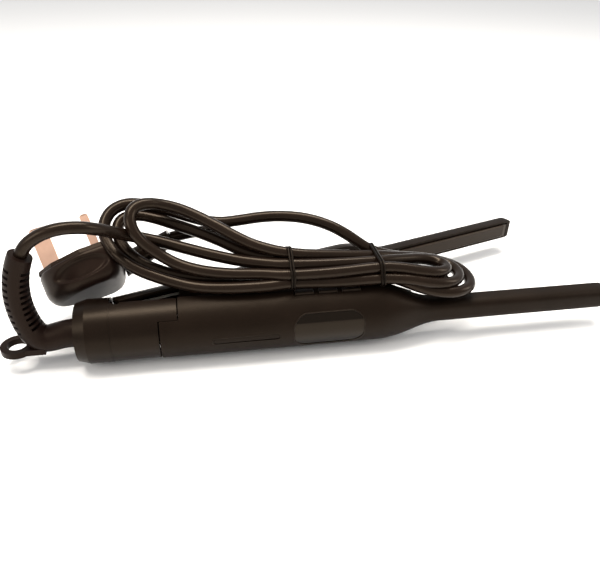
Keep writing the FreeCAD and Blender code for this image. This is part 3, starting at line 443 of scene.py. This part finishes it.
# %% [markdown]
# ## The plug's own axes
# The plug lies on its flank behind the hinge, so it helps to model it in its own axes and stand it in place
# with one matrix: X towards the earth pin's end, Y across, and Z the way that the pins point. The same
# axes say where the sleeve hands over to the cord.
# %% Plug axes
PLUG_MIDDLE = Vector((-20.2, 32.5, 34.3))
PLUG_AWAY = Vector((-0.08, 0.735, -0.674))
PLUG_PINS = Vector((-0.318, 0.622, 0.716))
SLEEVE_FOOT = Vector((-17.5, 0.0, -10.2))
SLEEVE_WAY = Vector((-0.943, 0.311, 0.120)).normalized()
SLEEVE_LENGTH = 30.0
plug_across = -PLUG_AWAY.normalized()
plug_up = (PLUG_PINS - plug_across * PLUG_PINS.dot(plug_across)).normalized()
plug_axes = Matrix((plug_across.cross(plug_up), plug_across, plug_up)).transposed().to_4x4()
plug_place = Matrix.Translation(PLUG_MIDDLE * MM) @ plug_axes
sleeve_mouth = tuple(PLUG_MIDDLE + plug_axes.to_3x3() @ (SLEEVE_FOOT + SLEEVE_WAY * SLEEVE_LENGTH))
print("sleeve mouth", [round(v, 1) for v in sleeve_mouth])

# %% [markdown]
# ## One line through all runs
# The runs and the passes through the ties follow each other in the order that the cord was folded. A
# NURBS line rounds them: it is drawn towards its points without going through them, so a bend has no
# corner. Its order is set after its points are there, because a new line is too short for it.
# %% The cord's line
route = supply + rightwards(FRONT[1], TOP[1])
route += right_loop_small + leftwards(TOP[0], FRONT[0])
route += front_loop + rightwards(FRONT[2], TOP[2])
route += right_loop_wide + leftwards(DEEP[0], BACK[0])
route += outer_loop + far_strand + [in_tie(RIGHT_TIE, TOP[3])]
route += right_loop_far + leftwards(DEEP[1], BACK[1])
route += middle_loop + rightwards(BACK[3], DEEP[3])
route += right_loop_low + leftwards(DEEP[2], BACK[2])
route += tail + [sleeve_mouth]
STEPS_PER_POINT = 10


def cord_line(name, places):
    curve = bpy.data.curves.new(name, "CURVE")
    curve.dimensions = "3D"
    spline = curve.splines.new("NURBS")
    spline.points.add(len(places) - 1)
    for point, place in zip(spline.points, places):
        point.co = (*(Vector(place) * MM), 1.0)
    spline.order_u = 3
    spline.use_endpoint_u = True
    spline.resolution_u = STEPS_PER_POINT
    return curve


print("route points", len(route))

# %% [markdown]
# ## From line to sheath
# A bevelled curve would show the same tube; here it is made into a mesh. The line is turned into points,
# which measure the cord, and the bevelled line into a tube.
# %% Sheath
CORD_DIAMETER = 5.6 * MM
bare_line = bpy.data.objects.new("cord_bare_line", cord_line("cord_bare_line", route))
bpy.context.scene.collection.objects.link(bare_line)
bpy.context.view_layer.update()
line_mesh = bpy.data.meshes.new_from_object(bare_line)
cord_path = [v.co.copy() for v in line_mesh.vertices]
cord_length = sum((b - a).length for a, b in zip(cord_path, cord_path[1:]))
bare_line.data.bevel_depth = CORD_DIAMETER / 2
bare_line.data.bevel_resolution = 6
bare_line.data.use_fill_caps = True
bpy.context.view_layer.update()
cord = bpy.data.objects.new("mains_cord", bpy.data.meshes.new_from_object(bare_line))
bpy.context.scene.collection.objects.link(cord)
bpy.data.objects.remove(bare_line)
cord.data.shade_smooth()
cord.data.materials.clear()
cord.data.materials.append(finishes["cord_pvc"])
print("cord length", round(cord_length, 3), "vertices", len(cord.data.vertices))

# %% [markdown]
# ## Wire ties
# Each tie is coated wire wound twice round the bundle, with its ends twisted together beneath. A plain
# ring would stand off the strands. Its shape is the outline of the strands inside it: for every direction
# the strand that lies furthest out carries the wire, which is what a tight wire does by itself.
# %% Ties
STRAND = CORD_DIAMETER / 2 / MM
WIRE = 0.55
WINDINGS = 2
WINDING_PITCH = 1.25
WINDING_STEPS = 72
TWIST_FROM = -0.3 * math.pi
TWIST_POINTS = 60
TWIST_STEPS = 12
TWIST_RUN = 0.22
TWIST_START = 1.6


def round_bundle(slots, angle):
    """Where a taut wire touches, in the cross-section, on its way round the strands."""
    way = Vector((math.cos(angle), math.sin(angle)))
    outermost = max((Vector(slot) for slot in slots), key=lambda slot: slot.dot(way))
    return outermost + way * (STRAND + WIRE)


def wire_tie(name, tie, slots, node):
    points = []
    for i in range(WINDING_STEPS * WINDINGS + 1):
        angle = 2 * math.pi * i / WINDING_STEPS
        x, y, z = in_tie(tie, round_bundle(slots, angle + TWIST_FROM))
        points.append(Vector((x + WINDING_PITCH * (i / WINDING_STEPS - WINDINGS / 2), y, z)))
    start = points[0]
    for i in range(TWIST_POINTS):
        angle = 2 * math.pi * i / TWIST_STEPS
        along = TWIST_START + TWIST_RUN * i
        points.append(start + Vector((along, WIRE * math.cos(angle), WIRE * math.sin(angle))))
    curve = bpy.data.curves.new(name, "CURVE")
    curve.dimensions = "3D"
    spline = curve.splines.new("POLY")
    spline.points.add(len(points) - 1)
    for point, place in zip(spline.points, points):
        point.co = (*(place * MM), 1.0)
    curve.bevel_depth = WIRE * MM
    curve.bevel_resolution = 3
    curve.use_fill_caps = True
    curve.materials.append(finishes["tie_coating"])
    piece = bpy.data.objects.new(name, curve)
    bpy.context.scene.collection.objects.link(piece)
    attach(piece, "front_arm")
    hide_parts(node)
    return piece


left_tie = wire_tie("left_wire_tie", LEFT_TIE, BACK + FRONT, "cord_tie_left")
right_tie = wire_tie("right_wire_tie", RIGHT_TIE, TOP + DEEP, "cord_tie_right")
print("ties", left_tie.name, right_tie.name)

# %% [markdown]
# ## The plug's outline
# Seen from its pins, the plug is broad at the cord and narrow and round at the earth pin. An outline with
# arcs would need a centre for each corner. Here only its straight-sided corner points are placed, and
# cutting every corner off three times over rounds them all.
# %% Plug outline
PLUG_HALF = 22.0
NOSE_HALF = 14.5
PLUG_END = -20.0
PLUG_TIP = 18.4
PLUG_DEEP = 17.5
DOME_FROM = -10.5
DOME_INSET = 5.6
CORNER_CUTS = 3


def corner_cut(points):
    """Each corner replaced by two points, a quarter of the way along its sides."""
    shorter = []
    for a, b in zip(points, points[1:] + points[:1]):
        shorter.append(a * 0.75 + b * 0.25)
        shorter.append(a * 0.25 + b * 0.75)
    return shorter


def plug_outline():
    half = [(PLUG_END, -PLUG_HALF + 5), (PLUG_END + 5, -PLUG_HALF), (-12, -PLUG_HALF),
            (-4, -PLUG_HALF), (4, -19.5), (PLUG_TIP - 7, -NOSE_HALF - 0.8), (PLUG_TIP, -NOSE_HALF + 7)]
    points = [Vector(p) for p in half + [(x, -y) for x, y in reversed(half)]]
    for _ in range(CORNER_CUTS):
        points = corner_cut(points)
    return points


outline = plug_outline()
print("outline points", len(outline))

# %% [markdown]
# ## The plug's flanks
# The flanks are straight near the pins, round over to a dome behind, and each has an oval hollow for the
# thumb. Cutting the hollow with a boolean would leave a hard rim. As a depth that fades at its edge it
# leaves a soft one, as a polished mould does.
# %% Plug flanks
HOLLOW_MIDDLE = Vector((-1.5, -8.6))
HOLLOW_REACH = Vector((13.5, 5.0))
HOLLOW_DEPTH = 1.7
HOLLOW_RIM = 0.45
FLANK_FROM = 8.0
FACE_EDGE = -4.0


def inset_at(z):
    if z > DOME_FROM:
        return 0.5 * max(0.0, (z - FACE_EDGE) / 2.0) ** 2
    fall = (DOME_FROM - z) / (PLUG_DEEP + DOME_FROM)
    return DOME_INSET * (1 - math.sqrt(max(0.0, 1 - fall * fall)))


def grip_hollow(x, z):
    """Depth of the thumb's hollow, an oval with a soft rim."""
    away = ((x - HOLLOW_MIDDLE.x) / HOLLOW_REACH.x) ** 2 + ((z - HOLLOW_MIDDLE.y) / HOLLOW_REACH.y) ** 2
    rise_in = min(1.0, max(0.0, (1.0 - away) / HOLLOW_RIM))
    return HOLLOW_DEPTH * rise_in * rise_in * (3 - 2 * rise_in)


def plug_point(flat, z):
    inset = inset_at(z)
    x = flat.x - inset * flat.x / PLUG_TIP
    y = flat.y - math.copysign(min(inset, abs(flat.y)), flat.y) * min(1.0, abs(flat.y) / NOSE_HALF)
    if abs(y) > FLANK_FROM:
        y -= math.copysign(grip_hollow(x, z), y)
    return Vector((x, y, z))


print("hollow depth at its middle", grip_hollow(HOLLOW_MIDDLE.x, HOLLOW_MIDDLE.y), "mm")

# %% [markdown]
# ## The plug's moulding
# The outline is drawn at many heights, closest together near the dome, and neighbouring rings are joined
# by faces. A subdivision cage would need fewer points, but it would shrink away from the engineering
# outline, and the rings keep to it.
# %% Plug moulding
LAYERS = 44
FACE_HEIGHT = -2.0
form = bmesh.new()
rings = []
for k in range(LAYERS + 1):
    sweep = math.pi / 2 * k / LAYERS
    height = FACE_HEIGHT - (PLUG_DEEP + FACE_HEIGHT) * math.sin(sweep)
    rings.append([form.verts.new(plug_place @ (plug_point(p, height) * MM)) for p in outline])
for upper, lower in zip(rings, rings[1:]):
    for i in range(len(outline)):
        j = (i + 1) % len(outline)
        form.faces.new((upper[i], upper[j], lower[j], lower[i]))
form.faces.new(rings[0])
form.faces.new(list(reversed(rings[-1])))
bmesh.ops.recalc_face_normals(form, faces=form.faces)
plug_mesh = bpy.data.meshes.new("plug_moulding")
form.to_mesh(plug_mesh)
form.free()
for polygon in plug_mesh.polygons:
    polygon.use_smooth = len(polygon.vertices) == 4
plug_mesh.materials.append(finishes["plug_plastic"])
plug = bpy.data.objects.new("plug_moulding", plug_mesh)
bpy.context.scene.collection.objects.link(plug)
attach(plug, "front_arm")
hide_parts("plug_body")
print("plug faces", len(plug_mesh.polygons))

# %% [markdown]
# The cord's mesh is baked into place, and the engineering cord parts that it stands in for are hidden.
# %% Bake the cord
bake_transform(cord)
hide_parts("supply_cord", "plug_cord", "cord_far_loop", "cord_hank")

# %% [markdown]
# ## Rims round the window and the light bar
# A glossy window is never flush with a soft-touch shell to a hair: a thin rim of bare plastic shows round
# it and catches a line of light. It could be bumped into a material, but a real rim keeps its line from
# every side. Its outline is a round-cornered oblong, dropped onto the shell along the arm's own depth.
# %% Rims
shell = frame["nodes"]["front_shell"]
OUTSIDE = -60.0
CORNER_STEPS = 12
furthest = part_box("front_shell")[0].y


def on_shell(x, z, thick):
    """Where the shell is, but no further out than lets the rim end level with the shell's widest line."""
    found, place, _, _ = shell.ray_cast(Vector((x, OUTSIDE, z)) * MM, Vector((0, 1, 0)))
    if not found:
        raise ValueError("the rim misses the shell")
    place.y = max(place.y, furthest + thick * MM)
    return place


def rim(name, middle_x, middle_z, half_long, half_high, corner, thick):
    points = []
    for quarter, (sx, sz) in enumerate(((1, 1), (-1, 1), (-1, -1), (1, -1))):
        for i in range(CORNER_STEPS + 1):
            angle = math.pi / 2 * (quarter + i / CORNER_STEPS)
            x = middle_x + sx * (half_long - corner) + corner * math.cos(angle)
            z = middle_z + sz * (half_high - corner) + corner * math.sin(angle)
            points.append((x, z))
    curve = bpy.data.curves.new(name, "CURVE")
    curve.dimensions = "3D"
    spline = curve.splines.new("POLY")
    spline.points.add(len(points) - 1)
    for point, (x, z) in zip(spline.points, points):
        point.co = (*on_shell(x, z, thick), 1.0)
    spline.use_cyclic_u = True
    spline.use_smooth = True
    curve.bevel_depth = thick * MM
    curve.bevel_resolution = 3
    curve.materials.append(finishes["button_plastic"])
    piece = bpy.data.objects.new(name, curve)
    bpy.context.scene.collection.objects.link(piece)
    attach(piece, "front_arm")
    return piece


bpy.context.view_layer.update()
# the part, its rim's name, and in millimetres how far outside it, the corner's radius and the wire's radius
for part, name, grow, corner, thick in (("display_lens", "window_rim", 0.35, 6.8, 0.3),
                                        ("light_bar", "light_bar_rim", 0.3, 1.5, 0.2)):
    low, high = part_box(part)
    centre = (low + high) / 2 / MM
    half = (high - low) / 2 / MM
    rim(name, centre.x, centre.z, half.x + grow, half.z + grow, corner, thick)
    print(name, "round", part, [round(v, 1) for v in centre])
